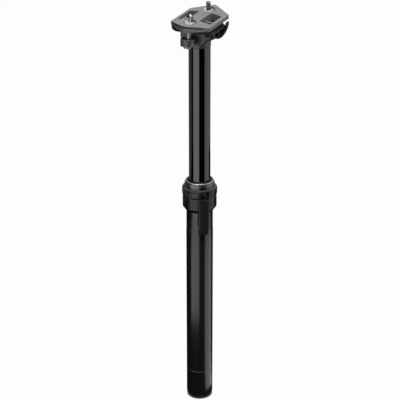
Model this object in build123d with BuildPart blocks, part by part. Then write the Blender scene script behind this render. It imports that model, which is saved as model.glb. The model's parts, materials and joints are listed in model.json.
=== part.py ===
"""A dropper seatpost: a bicycle seatpost whose upper half slides down on a release lever.

Millimetres. The origin is on the post's axis at the foot's lower face, +Z is up the post,
-Y is the front of the bicycle and +X the rider's left. It stands at full height, locked.
"""

import os
from math import asin, atan2, cos, degrees, hypot, radians, sin, sqrt, tan

from build123d import *

os.makedirs("parts", exist_ok=True)

# Clearances
seat_gap = 0.05  # round pieces that are fastened into each other
running_gap = 0.06  # sliding and turning fits
free_gap = 0.3  # moving pieces that pass or push each other
cut_overrun = 2.0  # how far a cut runs past the face that it opens
edge_break = 0.4  # small chamfer on turned edges

# The telescoping tubes
tube_radius = 15.8
tube_wall = 1.6
relief_radius = 15.55
foot_height = 39.0
spigot_length = 12.0
stanchion_radius = 12.5
stanchion_wall = 1.7
travel = 150.0
bottom_out_gap = 1.0
end_nut_flange = 3.1
lower_bushing_length = 25.6
key_length = 14.0
bumper_height = 3.7
upper_bushing_length = 18.65
spigot_top = foot_height + spigot_length
end_nut_bottom = spigot_top + bottom_out_gap + travel
stanchion_bottom = end_nut_bottom + end_nut_flange
key_bottom = stanchion_bottom + lower_bushing_length + 2 * free_gap
key_top = key_bottom + key_length
bumper_bottom = key_top + free_gap
upper_bushing_bottom = bumper_bottom + bumper_height + seat_gap
tube_top = upper_bushing_bottom + upper_bushing_length
tube_bore = tube_radius - tube_wall
stanchion_bore = stanchion_radius - stanchion_wall

# Foot cap, with the chamber for the rocker
foot_chamfer = 1.0
chamber_radius = 12.0
chamber_roof = 3.0
plug_thickness = 5.0
plug_recess = 0.6
plug_key_radius = 4.6
plug_key_depth = 3.0
chamber_top = foot_height - chamber_roof
spigot_radius = tube_bore - seat_gap

# Collar
collar_grip = 16.0
collar_chamfer_height = 4.7
collar_foot_radius = 16.6
band_step = 0.6
collar_groove_rise = 1.2
collar_groove_depth = 0.4
collar_groove_height = 3.2
band_height = 7.6
band_notch_radius = 1.3
band_notch_depth = 0.9
band_notch_count = 24
shoulder_thickness = 1.6
shoulder_radius = 12.95
collar_cavity_radius = 15.0
thread_radius = 16.2
thread_length = 1.7
shoulder_top = tube_top + shoulder_thickness
collar_bottom = tube_top - collar_grip
collar_chamfer_top = collar_bottom + collar_chamfer_height
collar_groove_bottom = tube_top + collar_groove_rise
band_bottom = collar_groove_bottom + collar_groove_height
band_top = band_bottom + band_height

# Seal nut and the rings that it holds
nut_flange_inset = 0.7
nut_flange_height = 0.6
nut_shoulder_width = 2.0
nut_shoulder_start = 1.5
nut_shoulder_height = 4.4
nut_rim_radius = 16.3
nut_height = 8.2
nut_neck_radius = 16.9
nut_neck_height = 7.2
foam_pocket_radius = 14.4
foam_height = 2.8
wiper_pocket_radius = 15.5
wiper_bottom_height = 3.0
wiper_lip_radius = 13.4
wiper_lip_height = 1.4
rim_ring_inner = 15.2
rim_ring_outer = 16.2
rim_ring_height = 0.6
nut_top = band_top + nut_height

# Bushings, keys and stops
slot_half_width = 2.0
end_nut_flange_radius = 13.9
end_nut_depth = 10.7
end_nut_bore = 4.2
key_radius = 1.5
key_circle = 13.35
key_angles = (60, 180, 300)

# Gas spring
rod_radius = 3.5
rod_bore = 1.45
rod_tail = 6.0
rod_root_radius = 5.5
rod_root_length = 15.0
rod_nut_height = 4.5
rod_nut_radius = 8.0
cartridge_radius = 10.2
cartridge_bore = 8.6
cartridge_head_gap = 2.15
guide_length = 9.7
seal_height = 2.2
seal_depth = 1.3
piston_length = 10.0
piston_gap = 2.0
floating_gap = 0.9
floating_length = 8.0
cartridge_plug_length = 12.0
valve_radius = 3.9
valve_height = 8.0

# Release gear
valve_pin_radius = 1.2
pin_foot_radius = 2.8
pin_foot_thickness = 1.5
spring_seat_radius = 3.2
spring_seat_depth = 12.0
spring_wire = 0.7
spring_mean_radius = 2.4
spring_turns = 7
rocker_pivot_depth = 9.0
rocker_pivot_drop = 11.5
rocker_length = 21.4
rocker_half_width = 1.7
rocker_eye_radius = 2.7
rocker_root_half_height = 2.4
rocker_tip_half_height = 1.5
rocker_heel_radius = 1.8
rocker_heel_rise = 1.0
rocker_pin_radius = 1.5
strip_thickness = 0.9
strip_half_width = 1.2
strip_clearance = 0.35
strip_head_height = 4.1
strip_offset = stanchion_radius + strip_clearance
strip_reach = strip_offset + strip_thickness + free_gap
hook_reach = 2.6
hook_thickness = 1.6

# Lever at the collar
pivot_drop = 5.0
lever_swing = 20.0
lever_arm_angle = 48.0
spindle_radius = 2.0
crank_throw = 4.4
crank_pin_radius = 0.9
crank_web_thickness = 0.7
crank_web_margin = 0.7
collar_inner_wall = 3.35
recess_pivot_radius = 4.3
recess_height = 10.0
recess_width = 12.6
lever_floor_gap = 0.7
lever_thickness = 2.2
lever_sink = 0.2
lever_eye_radius = 3.4
lever_end_radius = 2.2
pivot_screw_radius = 2.6
pivot_screw_height = 0.6
pivot_screw_key_radius = 1.1
barrel_radius = 1.6
barrel_proud = 0.4
grub_radius = 0.9
cable_hole_radius = 1.1
recess_floor = strip_reach + collar_inner_wall
lever_inner_radius = recess_floor + lever_floor_gap
lever_outer_radius = lever_inner_radius + lever_thickness
band_radius = lever_outer_radius + lever_sink
collar_radius = band_radius - band_step
collar_groove_radius = collar_radius - collar_groove_depth
nut_flange_radius = band_radius - nut_flange_inset
nut_shoulder_radius = nut_flange_radius - nut_shoulder_width
pivot_height = band_top - pivot_drop
recess_bottom = band_top - recess_height
rod_bottom = chamber_top - rod_tail
rocker_pivot_height = chamber_top - rocker_pivot_drop

# Cable guide on the tube
guide_top_gap = 1.0
guide_length_up = 40.0
guide_stop_height = 5.6
guide_taper_height = 11.0
guide_half_width = 6.2
guide_foot_half_width = 5.2
guide_face_wall = 2.85
guide_edge_fillet = 1.5
guide_corner = 2.6
housing_radius = 2.55
housing_socket_length = 18.0
cable_lever_inset = 0.65
cable_circle = lever_inner_radius + cable_lever_inset
guide_face_radius = cable_circle + guide_face_wall
guide_top = tube_top - guide_top_gap
guide_bottom = guide_top - guide_length_up
guide_stop_top = guide_bottom + guide_stop_height
guide_taper_top = guide_bottom + guide_taper_height
relief_bottom = guide_bottom - free_gap

# Head and ears
neck_clearance = 11.8
neck_radius = 12.7
neck_spigot_length = 20.0
neck_cavity_radius = 7.0
neck_cavity_height = 5.0
ear_rise = 6.5
ear_height = 8.0
ear_radius = 8.0
ear_web = 10.0
ear_reach = 24.2
saddle_half_length = 14.5
saddle_half_width = 16.0
saddle_foot_half_width = 12.2
saddle_flare_height = 5.0
saddle_fillet = 1.2
washer_radius = 4.5
washer_half_length = 6.0
washer_flat = 1.0
washer_rise = 0.5
washer_reach = 24.0
bolt_radius = 2.5
bolt_head_radius = 4.2
bolt_head_height = 3.3
bolt_key_radius = 2.2
bolt_key_depth = 2.0
bolt_tip_chamfer = 0.5
front_bolt_proud = 9.9
rear_bolt_proud = 12.8
washer_bore_gap = 0.1

# Rail clamp, drawn about its tilt axis
tilt_axis_rise = 33.0
rest_tilt = 8.0
tilt_swing = 8.0
rail_radius = 3.5
rail_spacing = 44.0
rail_drop = 8.5
rail_grip_gap = 0.1
cradle_radius = 20.3
cradle_half_length = 17.3
cradle_half_width = 26.8
cradle_deck_drop = 9.6
cradle_wall_drop = 7.6
cradle_rim = 1.3
cradle_pocket_roof = 1.2
cradle_pocket_depth = 9.4
cradle_rib = 2.4
cradle_rib_setback = 3.0
cradle_opening_half_length = 12.0
cradle_opening_depth = 2.5
bolt_notch_half_width = 3.7
bolt_notch_reach = 14.6
plate_rise = 2.0
plate_crown = 3.2
plate_half_width = 25.4
plate_half_length = 20.0
plate_nose_reach = 32.2
plate_nose_half_width = 2.0
plate_lip = 0.6
plate_groove_height = 2.8
plate_groove_depth = 2.8
plate_groove_inset = 5.9
plate_groove_reach = plate_half_width - plate_groove_inset
plate_flange_drop = 5.6
plate_corner = 0.6
clamp_depth = 7.7
clamp_side_step = 2.2
clamp_end_step = 4.0
window_half_length = 12.3
window_inner = 7.4
window_edge = 3.8
window_outer = plate_half_width - window_edge
window_corner = 1.8
window_rib = 2.2
window_rib_height = 3.4
nut_radius = 4.4
nut_half_length = 6.3
nut_reach = 19.5
nut_drop = 2.2
nut_bore_gap = 0.4
nut_end_gap = 0.5
nut_well_radius = 6.9
clamp_slot_half_width = 3.2
neck_bottom = band_top + nut_height + travel + neck_clearance
cartridge_top = neck_bottom - neck_spigot_length - cartridge_head_gap
ear_bottom = neck_bottom + ear_rise
washer_height = ear_bottom + washer_rise
tilt_axis_height = neck_bottom + tilt_axis_rise


def front_facing(reach):
    """Plane that faces the front of the bicycle, with local y up, at a reach from the axis."""
    return Plane.XZ.offset(reach)


def strip_slot(bottom, top, inner_reach, outer_reach):
    """A slot at the front of a round piece, through which the release strip passes."""
    with BuildPart() as slot:
        with BuildSketch(Plane.XY.offset(bottom)):
            with Locations((0, -(inner_reach + outer_reach) / 2)):
                Rectangle(2 * slot_half_width, outer_reach - inner_reach)
        extrude(amount=top - bottom)
    return slot.part


# Foot cap: a turned plug that is bonded into the outer tube
with BuildPart() as foot_cap:
    with BuildSketch():
        Circle(tube_radius)
    extrude(amount=foot_height)
    chamfer(foot_cap.edges().group_by(Axis.Z)[0], foot_chamfer)
    chamfer(foot_cap.edges().group_by(Axis.Z)[-1], edge_break)
    with BuildSketch(Plane.XY.offset(foot_height)):
        Circle(spigot_radius)
    extrude(amount=spigot_length)
    with BuildSketch():
        Circle(chamber_radius)
    extrude(amount=chamber_top, mode=Mode.SUBTRACT)
    with BuildSketch(Plane.XY.offset(chamber_top)):
        Circle(rod_root_radius + seat_gap)
    extrude(amount=spigot_top - chamber_top, mode=Mode.SUBTRACT)
    # Channel for the release strip, from the chamber up past the spigot
    strip_channel_bottom = rocker_pivot_height - 2 * rocker_eye_radius
    add(strip_slot(strip_channel_bottom, spigot_top, stanchion_bore, strip_reach), mode=Mode.SUBTRACT)
    with BuildSketch(Plane.YZ):
        with Locations((rocker_pivot_depth, rocker_pivot_height)):
            Circle(rocker_pin_radius + seat_gap)
    extrude(amount=tube_radius, both=True, mode=Mode.SUBTRACT)
foot_cap.part.label = "foot_cap"
export_step(foot_cap.part, "parts/foot_cap.step")

# Foot plug: closes the chamber from below and has a hexagon key socket
with BuildPart() as foot_plug:
    with BuildSketch(Plane.XY.offset(plug_recess)):
        Circle(chamber_radius - seat_gap)
    extrude(amount=plug_thickness)
    chamfer(foot_plug.edges().group_by(Axis.Z)[0], edge_break)
    with BuildSketch(Plane.XY.offset(plug_recess)):
        RegularPolygon(plug_key_radius, side_count=6)
    extrude(amount=plug_key_depth, mode=Mode.SUBTRACT)
foot_plug.part.label = "foot_plug"
export_step(foot_plug.part, "parts/foot_plug.step")

# Outer tube: bore with three keyways that stop the stanchion from turning
with BuildPart() as outer_tube:
    with BuildSketch(Plane.XY.offset(foot_height)):
        Circle(tube_radius)
        Circle(tube_bore, mode=Mode.SUBTRACT)
        for key_angle in key_angles:
            with Locations(Location((0, 0), key_angle - 90)):
                with Locations((key_circle, 0)):
                    Circle(key_radius + running_gap, mode=Mode.SUBTRACT)
    extrude(amount=tube_top - foot_height)
    chamfer(outer_tube.edges().group_by(Axis.Z)[0].sort_by(SortBy.LENGTH)[-1], edge_break)
    # Slightly thinner wall where the guide and the collar sit on the tube
    with BuildSketch(Plane.XY.offset(relief_bottom)):
        Circle(tube_radius + cut_overrun)
        Circle(relief_radius, mode=Mode.SUBTRACT)
    extrude(amount=tube_top - relief_bottom, mode=Mode.SUBTRACT)
outer_tube.part.label = "outer_tube"
export_step(outer_tube.part, "parts/outer_tube.step")

# Plane of the cable guide: local x runs round the post and local y up it
guide_turn = radians(lever_arm_angle)
guide_side = (cos(guide_turn), sin(guide_turn), 0)
guide_out = (sin(guide_turn), -cos(guide_turn), 0)
guide_plane = Plane(origin=(0, 0, 0), x_dir=guide_side, z_dir=guide_out)
outward = Axis(origin=(0, 0, 0), direction=guide_out)


def guide_section(height):
    """Plane across the post, with local y outward through the cable guide."""
    away = (-cos(guide_turn), -sin(guide_turn), 0)
    return Plane(origin=(0, 0, height), x_dir=away, z_dir=(0, 0, 1))


# Cable guide: the tongue that carries the cable housing up the tube into the collar
with BuildPart() as cable_guide:
    with BuildSketch(guide_plane):
        with BuildLine():
            Polyline(
                (-guide_half_width, guide_top),
                (guide_half_width, guide_top),
                (guide_half_width, guide_taper_top),
                (guide_foot_half_width, guide_stop_top),
                (-guide_foot_half_width, guide_stop_top),
                (-guide_half_width, guide_taper_top),
                close=True,
            )
        make_face()
    extrude(amount=guide_face_radius)
    front_face = cable_guide.faces().sort_by(outward)[-1]
    fillet(front_face.edges().filter_by(Axis.Z), guide_edge_fillet)
    with BuildSketch(Plane.XY.offset(guide_bottom)):
        Circle(relief_radius + seat_gap)
    extrude(amount=guide_top - guide_bottom, mode=Mode.SUBTRACT)
    with BuildSketch(guide_section(guide_stop_top)):
        with Locations((0, cable_circle)):
            Circle(housing_radius)
    extrude(amount=housing_socket_length - (guide_stop_top - guide_bottom), mode=Mode.SUBTRACT)
    with BuildSketch(guide_section(guide_stop_top)):
        with Locations((0, cable_circle)):
            Circle(cable_hole_radius)
    extrude(amount=guide_top - guide_stop_top, mode=Mode.SUBTRACT)
cable_guide.part.label = "cable_guide"
export_step(cable_guide.part, "parts/cable_guide.step")

# Housing stop: the port at the guide's foot where the cable housing goes in
with BuildPart() as housing_stop:
    with BuildSketch(guide_plane):
        with BuildLine():
            Polyline(
                (-guide_foot_half_width, guide_stop_top),
                (guide_foot_half_width, guide_stop_top),
                (guide_foot_half_width, guide_bottom),
                (-guide_foot_half_width, guide_bottom),
                close=True,
            )
        make_face()
    extrude(amount=guide_face_radius - edge_break)
    stop_face = housing_stop.faces().sort_by(outward)[-1]
    fillet(stop_face.edges().filter_by(Axis.Z), guide_edge_fillet)
    with BuildSketch(Plane.XY.offset(guide_bottom)):
        Circle(relief_radius + seat_gap)
    extrude(amount=guide_top - guide_bottom, mode=Mode.SUBTRACT)
    with BuildSketch(guide_section(guide_bottom)):
        with Locations((0, cable_circle)):
            Circle(housing_radius)
    extrude(amount=guide_stop_top - guide_bottom, mode=Mode.SUBTRACT)
housing_stop.part.label = "housing_stop"
export_step(housing_stop.part, "parts/housing_stop.step")

# Recess for the lever: a shell round the post, cut to the pivot, the arm and the window
arm_start = lever_arm_angle - degrees(asin(guide_half_width / collar_radius))
with BuildPart() as arm_recess:
    with BuildSketch(Plane.XY.offset(recess_bottom)):
        Circle(band_radius + cut_overrun)
        Circle(recess_floor, mode=Mode.SUBTRACT)
    extrude(amount=band_top - recess_bottom)
    with BuildSketch(front_facing(0)):
        with Locations((0, pivot_height)):
            Circle(recess_pivot_radius)
        with BuildLine():
            Polyline(
                (0, pivot_height + recess_pivot_radius),
                (collar_radius * sin(guide_turn), band_top),
                (collar_radius * sin(guide_turn), recess_bottom),
                (collar_radius * sin(radians(arm_start)), recess_bottom),
                (0, pivot_height - recess_pivot_radius),
                close=True,
            )
        make_face()
    extrude(amount=band_radius + cut_overrun, mode=Mode.INTERSECT)
with BuildPart() as window_recess:
    with BuildSketch(Plane.XY.offset(recess_bottom)):
        Circle(band_radius + cut_overrun)
        Circle(recess_floor, mode=Mode.SUBTRACT)
    extrude(amount=band_top - recess_bottom)
    with BuildSketch(guide_plane):
        with Locations((0, (recess_bottom + band_top) / 2)):
            Rectangle(recess_width, band_top - recess_bottom)
    extrude(amount=band_radius + cut_overrun, mode=Mode.INTERSECT)

# Collar: clamps the tube's top, carries the lever and holds the seal nut
crank_outer = strip_offset + strip_thickness + crank_web_thickness + running_gap
crank_pocket_floor = crank_outer + 2 * running_gap
crank_rest = radians(-lever_swing / 2)
crank_x = -crank_throw * cos(crank_rest)
crank_z = pivot_height + crank_throw * sin(crank_rest)
crank_web_radius = crank_pin_radius + crank_web_margin
with BuildPart() as collar:
    with BuildSketch(Plane.XZ):
        with BuildLine():
            Polyline(
                (relief_radius + seat_gap, collar_bottom),
                (collar_foot_radius, collar_bottom),
                (collar_radius, collar_chamfer_top),
                (collar_radius, collar_groove_bottom),
                (collar_groove_radius, collar_groove_bottom),
                (collar_groove_radius, band_bottom),
                (band_radius, band_bottom),
                (band_radius, band_top),
                (thread_radius + seat_gap, band_top),
                (thread_radius + seat_gap, band_top - thread_length),
                (collar_cavity_radius, band_top - thread_length),
                (collar_cavity_radius, shoulder_top),
                (shoulder_radius, shoulder_top),
                (shoulder_radius, tube_top + seat_gap),
                (relief_radius + seat_gap, tube_top + seat_gap),
                close=True,
            )
        make_face()
    revolve(axis=Axis.Z)
    band_edges = collar.edges().filter_by(GeomType.CIRCLE).filter_by(
        lambda edge: abs(edge.radius - band_radius) < seat_gap
    )
    chamfer(band_edges, edge_break)
    with BuildSketch(Plane.XY.offset(band_bottom)):
        with PolarLocations(band_radius + band_notch_radius - band_notch_depth, band_notch_count):
            Circle(band_notch_radius)
    extrude(amount=band_top - band_bottom, mode=Mode.SUBTRACT)
    add(arm_recess.part, mode=Mode.SUBTRACT)
    add(window_recess.part, mode=Mode.SUBTRACT)
    # Slot for the cable guide, and the cable's hole on into the recess
    with BuildSketch(guide_plane):
        with Locations((0, (guide_top + collar_bottom) / 2)):
            Rectangle(2 * (guide_half_width + seat_gap), guide_top - collar_bottom + 2 * seat_gap)
    extrude(amount=band_radius, mode=Mode.SUBTRACT)
    with BuildSketch(guide_section(guide_top)):
        with Locations((0, cable_circle)):
            Circle(cable_hole_radius)
    extrude(amount=recess_bottom - guide_top, mode=Mode.SUBTRACT)
    # Pocket for the crank, and the spindle's hole
    with BuildSketch(front_facing(0)):
        with Locations((0, pivot_height)):
            Circle(spindle_radius + crank_web_margin)
        with BuildLine():
            Polyline(
                (spindle_radius, pivot_height - spindle_radius - crank_web_margin),
                (spindle_radius, pivot_height + spindle_radius + crank_web_margin),
                (crank_x - crank_web_radius - free_gap, pivot_height + spindle_radius + crank_web_margin),
                (crank_x - crank_web_radius - free_gap, pivot_height - spindle_radius - crank_web_margin),
                close=True,
            )
        make_face()
    extrude(amount=crank_pocket_floor, mode=Mode.SUBTRACT)
    with BuildSketch(front_facing(0)):
        with Locations((0, pivot_height)):
            Circle(spindle_radius + running_gap)
    extrude(amount=band_radius, mode=Mode.SUBTRACT)
    add(strip_slot(tube_top, shoulder_top, stanchion_bore, strip_reach), mode=Mode.SUBTRACT)
collar.part.label = "collar"
export_step(collar.part, "parts/collar.step")

# Seal nut: the cone above the band
with BuildPart() as seal_nut:
    with BuildSketch(Plane.XZ):
        with BuildLine():
            Polyline(
                (foam_pocket_radius, band_top - thread_length),
                (thread_radius, band_top - thread_length),
                (thread_radius, band_top),
                (nut_flange_radius, band_top),
                (nut_flange_radius, band_top + nut_flange_height),
                (nut_shoulder_radius, band_top + nut_shoulder_start),
                (nut_shoulder_radius, band_top + nut_shoulder_height),
                (nut_neck_radius, band_top + nut_neck_height),
                (nut_rim_radius, nut_top),
                (wiper_pocket_radius, nut_top),
                (wiper_pocket_radius, band_top + wiper_bottom_height),
                (foam_pocket_radius, band_top + wiper_bottom_height),
                close=True,
            )
        make_face()
    revolve(axis=Axis.Z)
seal_nut.part.label = "seal_nut"
export_step(seal_nut.part, "parts/seal_nut.step")

# Foam ring: keeps oil on the stanchion, below the wiper
with BuildPart() as foam_ring:
    with BuildSketch(Plane.XY.offset(band_top)):
        Circle(foam_pocket_radius - seat_gap)
        Circle(stanchion_radius + running_gap, mode=Mode.SUBTRACT)
    extrude(amount=foam_height)
foam_ring.part.label = "foam_ring"
export_step(foam_ring.part, "parts/foam_ring.step")

# Wiper seal: a rubber ring whose lip stands above the nut's rim
with BuildPart() as wiper_seal:
    with BuildSketch(Plane.XZ):
        with BuildLine():
            Polyline(
                (stanchion_radius + running_gap, band_top + wiper_bottom_height + seat_gap),
                (wiper_pocket_radius - seat_gap, band_top + wiper_bottom_height + seat_gap),
                (wiper_pocket_radius - seat_gap, nut_top - seat_gap),
                (rim_ring_inner - seat_gap, nut_top - seat_gap),
                (wiper_lip_radius, nut_top + wiper_lip_height),
                (stanchion_radius + running_gap, nut_top + wiper_lip_height),
                close=True,
            )
        make_face()
    revolve(axis=Axis.Z)
wiper_seal.part.label = "wiper_seal"
export_step(wiper_seal.part, "parts/wiper_seal.step")

# Rim ring: the thin bright ring that holds the wiper down
with BuildPart() as rim_ring:
    with BuildSketch(Plane.XY.offset(nut_top)):
        Circle(rim_ring_outer)
        Circle(rim_ring_inner, mode=Mode.SUBTRACT)
    extrude(amount=rim_ring_height)
    chamfer(rim_ring.edges().group_by(Axis.Z)[-1], rim_ring_height / 3)
rim_ring.part.label = "rim_ring"
export_step(rim_ring.part, "parts/rim_ring.step")

# Bushings and stops inside the tube
with BuildPart() as upper_bushing:
    with BuildSketch(Plane.XY.offset(upper_bushing_bottom)):
        Circle(tube_bore - seat_gap)
        Circle(stanchion_radius + running_gap, mode=Mode.SUBTRACT)
    extrude(amount=tube_top - upper_bushing_bottom)
    add(strip_slot(upper_bushing_bottom, tube_top, stanchion_bore, tube_radius), mode=Mode.SUBTRACT)
upper_bushing.part.label = "upper_bushing"
export_step(upper_bushing.part, "parts/upper_bushing.step")

with BuildPart() as top_out_bumper:
    with BuildSketch(Plane.XY.offset(bumper_bottom)):
        Circle(tube_bore - seat_gap)
        Circle(stanchion_radius + free_gap, mode=Mode.SUBTRACT)
    extrude(amount=bumper_height)
    add(strip_slot(bumper_bottom, tube_top, stanchion_bore, tube_radius), mode=Mode.SUBTRACT)
top_out_bumper.part.label = "top_out_bumper"
export_step(top_out_bumper.part, "parts/top_out_bumper.step")

with BuildPart() as lower_bushing:
    with BuildSketch(Plane.XY.offset(stanchion_bottom + free_gap)):
        Circle(tube_bore - running_gap)
        Circle(stanchion_radius + seat_gap, mode=Mode.SUBTRACT)
    extrude(amount=lower_bushing_length)
    add(strip_slot(stanchion_bottom, tube_top, stanchion_bore, tube_radius), mode=Mode.SUBTRACT)
lower_bushing.part.label = "lower_bushing"
export_step(lower_bushing.part, "parts/lower_bushing.step")

with BuildPart() as guide_keys:
    for key_angle in key_angles:
        with BuildSketch(Plane.XY.offset(key_bottom)):
            with Locations(Location((0, 0), key_angle - 90)):
                with Locations((key_circle, 0)):
                    Circle(key_radius)
        extrude(amount=key_length)
guide_keys.part.label = "guide_keys"
export_step(guide_keys.part, "parts/guide_keys.step")

# Stanchion: the sliding tube, with seats for the keys
with BuildPart() as stanchion:
    with BuildSketch(Plane.XY.offset(stanchion_bottom)):
        Circle(stanchion_radius)
        Circle(stanchion_bore, mode=Mode.SUBTRACT)
    extrude(amount=neck_bottom - stanchion_bottom)
    with BuildSketch(Plane.XY.offset(key_bottom - seat_gap)):
        for key_angle in key_angles:
            with Locations(Location((0, 0), key_angle - 90)):
                with Locations((key_circle, 0)):
                    Circle(key_radius + seat_gap)
    extrude(amount=key_length + 2 * seat_gap, mode=Mode.SUBTRACT)
stanchion.part.label = "stanchion"
export_step(stanchion.part, "parts/stanchion.step")

# Stanchion end nut: its flange keeps the lower bushing on, and it carries the cartridge
end_nut_top = stanchion_bottom + end_nut_depth
with BuildPart() as stanchion_end_nut:
    with BuildSketch(Plane.XY.offset(end_nut_bottom)):
        Circle(end_nut_flange_radius)
    extrude(amount=end_nut_flange)
    chamfer(stanchion_end_nut.edges().group_by(Axis.Z)[0], edge_break)
    with BuildSketch(Plane.XY.offset(stanchion_bottom)):
        Circle(stanchion_bore - seat_gap)
    extrude(amount=end_nut_depth)
    with BuildSketch(Plane.XY.offset(end_nut_bottom)):
        Circle(end_nut_bore)
    extrude(amount=end_nut_top - end_nut_bottom, mode=Mode.SUBTRACT)
    add(strip_slot(end_nut_bottom, stanchion_bottom, stanchion_radius, tube_radius), mode=Mode.SUBTRACT)
stanchion_end_nut.part.label = "stanchion_end_nut"
export_step(stanchion_end_nut.part, "parts/stanchion_end_nut.step")

# Cartridge: the tube that holds oil below its floating piston and gas above it
cartridge_bottom = end_nut_top + 2 * seat_gap
with BuildPart() as cartridge_tube:
    with BuildSketch(Plane.XY.offset(cartridge_bottom)):
        Circle(cartridge_radius)
        Circle(cartridge_bore, mode=Mode.SUBTRACT)
    extrude(amount=cartridge_top - cartridge_bottom)
cartridge_tube.part.label = "cartridge_tube"
export_step(cartridge_tube.part, "parts/cartridge_tube.step")

# Rod guide: closes the cartridge's lower end round the rod
guide_ring_bottom = cartridge_bottom + (guide_length - seal_height) / 2
with BuildPart() as rod_guide:
    with BuildSketch(Plane.XY.offset(cartridge_bottom)):
        Circle(cartridge_bore - seat_gap)
        Circle(rod_radius + running_gap, mode=Mode.SUBTRACT)
    extrude(amount=guide_length)
    with BuildSketch(Plane.XY.offset(guide_ring_bottom)):
        Circle(rod_radius + seal_depth)
    extrude(amount=seal_height, mode=Mode.SUBTRACT)
rod_guide.part.label = "rod_guide"
export_step(rod_guide.part, "parts/rod_guide.step")

with BuildPart() as rod_seal:
    with BuildSketch(Plane.XY.offset(guide_ring_bottom + seat_gap)):
        Circle(rod_radius + seal_depth - seat_gap)
        Circle(rod_radius + running_gap, mode=Mode.SUBTRACT)
    extrude(amount=seal_height - 2 * seat_gap)
rod_seal.part.label = "rod_seal"
export_step(rod_seal.part, "parts/rod_seal.step")

# Main piston on the rod's upper end, with its seal
piston_bottom = cartridge_bottom + guide_length + piston_gap
piston_top = piston_bottom + piston_length
piston_seal_bottom = piston_bottom + (piston_length - seal_height) / 2
with BuildPart() as main_piston:
    with BuildSketch(Plane.XY.offset(piston_bottom)):
        Circle(cartridge_bore - running_gap)
        Circle(rod_radius + seat_gap, mode=Mode.SUBTRACT)
    extrude(amount=piston_length)
    with BuildSketch(Plane.XY.offset(piston_seal_bottom)):
        Circle(cartridge_bore)
        Circle(cartridge_bore - seal_depth, mode=Mode.SUBTRACT)
    extrude(amount=seal_height, mode=Mode.SUBTRACT)
main_piston.part.label = "main_piston"
export_step(main_piston.part, "parts/main_piston.step")

with BuildPart() as piston_seal:
    with BuildSketch(Plane.XY.offset(piston_seal_bottom + seat_gap)):
        Circle(cartridge_bore - running_gap)
        Circle(cartridge_bore - seal_depth + seat_gap, mode=Mode.SUBTRACT)
    extrude(amount=seal_height - 2 * seat_gap)
piston_seal.part.label = "piston_seal"
export_step(piston_seal.part, "parts/piston_seal.step")

# Floating piston: parts the oil from the gas, and rises as the rod comes in
floating_rise = travel * (rod_radius / cartridge_bore) ** 2
floating_bottom = piston_top + travel - floating_rise + floating_gap
floating_seal_bottom = floating_bottom + (floating_length - seal_height) / 2
with BuildPart() as floating_piston:
    with BuildSketch(Plane.XY.offset(floating_bottom)):
        Circle(cartridge_bore - running_gap)
    extrude(amount=floating_length)
    with BuildSketch(Plane.XY.offset(floating_bottom + floating_length)):
        Circle(cartridge_bore / 2)
    extrude(amount=-floating_length / 2, mode=Mode.SUBTRACT)
    with BuildSketch(Plane.XY.offset(floating_seal_bottom)):
        Circle(cartridge_bore)
        Circle(cartridge_bore - seal_depth, mode=Mode.SUBTRACT)
    extrude(amount=seal_height, mode=Mode.SUBTRACT)
floating_piston.part.label = "floating_piston"
export_step(floating_piston.part, "parts/floating_piston.step")

with BuildPart() as floating_seal:
    with BuildSketch(Plane.XY.offset(floating_seal_bottom + seat_gap)):
        Circle(cartridge_bore - running_gap)
        Circle(cartridge_bore - seal_depth + seat_gap, mode=Mode.SUBTRACT)
    extrude(amount=seal_height - 2 * seat_gap)
floating_seal.part.label = "floating_seal"
export_step(floating_seal.part, "parts/floating_seal.step")

# Cartridge plug and the filling valve on it
with BuildPart() as cartridge_plug:
    with BuildSketch(Plane.XY.offset(cartridge_top - cartridge_plug_length)):
        Circle(cartridge_bore - seat_gap)
        Circle(valve_radius + seat_gap, mode=Mode.SUBTRACT)
    extrude(amount=cartridge_plug_length)
cartridge_plug.part.label = "cartridge_plug"
export_step(cartridge_plug.part, "parts/cartridge_plug.step")

with BuildPart() as filling_valve:
    with BuildSketch(Plane.XY.offset(cartridge_top - cartridge_plug_length)):
        Circle(valve_radius)
    extrude(amount=cartridge_plug_length + valve_height)
    chamfer(filling_valve.edges().group_by(Axis.Z)[-1], edge_break)
filling_valve.part.label = "filling_valve"
export_step(filling_valve.part, "parts/filling_valve.step")

# Rod: hollow for the valve pin, with a thick threaded root in the foot cap
with BuildPart() as piston_rod:
    with BuildSketch(Plane.XY.offset(rod_bottom)):
        Circle(rod_root_radius)
    extrude(amount=rod_root_length)
    chamfer(piston_rod.edges().group_by(Axis.Z)[-1], edge_break)
    with BuildSketch(Plane.XY.offset(rod_bottom)):
        Circle(rod_radius)
    extrude(amount=piston_top - rod_bottom)
    with BuildSketch(Plane.XY.offset(rod_bottom)):
        Circle(rod_bore)
    extrude(amount=piston_top - rod_bottom, mode=Mode.SUBTRACT)
    with BuildSketch(Plane.XY.offset(rod_bottom)):
        Circle(spring_seat_radius)
    extrude(amount=spring_seat_depth, mode=Mode.SUBTRACT)
piston_rod.part.label = "piston_rod"
export_step(piston_rod.part, "parts/piston_rod.step")

with BuildPart() as rod_nut:
    with BuildSketch(Plane.XY.offset(chamber_top - rod_nut_height)):
        RegularPolygon(rod_nut_radius, side_count=6)
        Circle(rod_root_radius + seat_gap, mode=Mode.SUBTRACT)
    extrude(amount=rod_nut_height)
rod_nut.part.label = "rod_nut"
export_step(rod_nut.part, "parts/rod_nut.step")

# Rocker plane at rest: local x runs forward along the arm, local y up
crank_lift = 2 * crank_throw * sin(radians(lever_swing / 2))
hook_arm = rocker_pivot_depth + strip_offset - hook_reach / 2
rocker_half_swing = crank_lift / hook_arm / 2
rocker_plane = Plane(
    origin=(0, rocker_pivot_depth, rocker_pivot_height),
    x_dir=(0, -cos(rocker_half_swing), -sin(rocker_half_swing)),
    z_dir=(-1, 0, 0),
)

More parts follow.
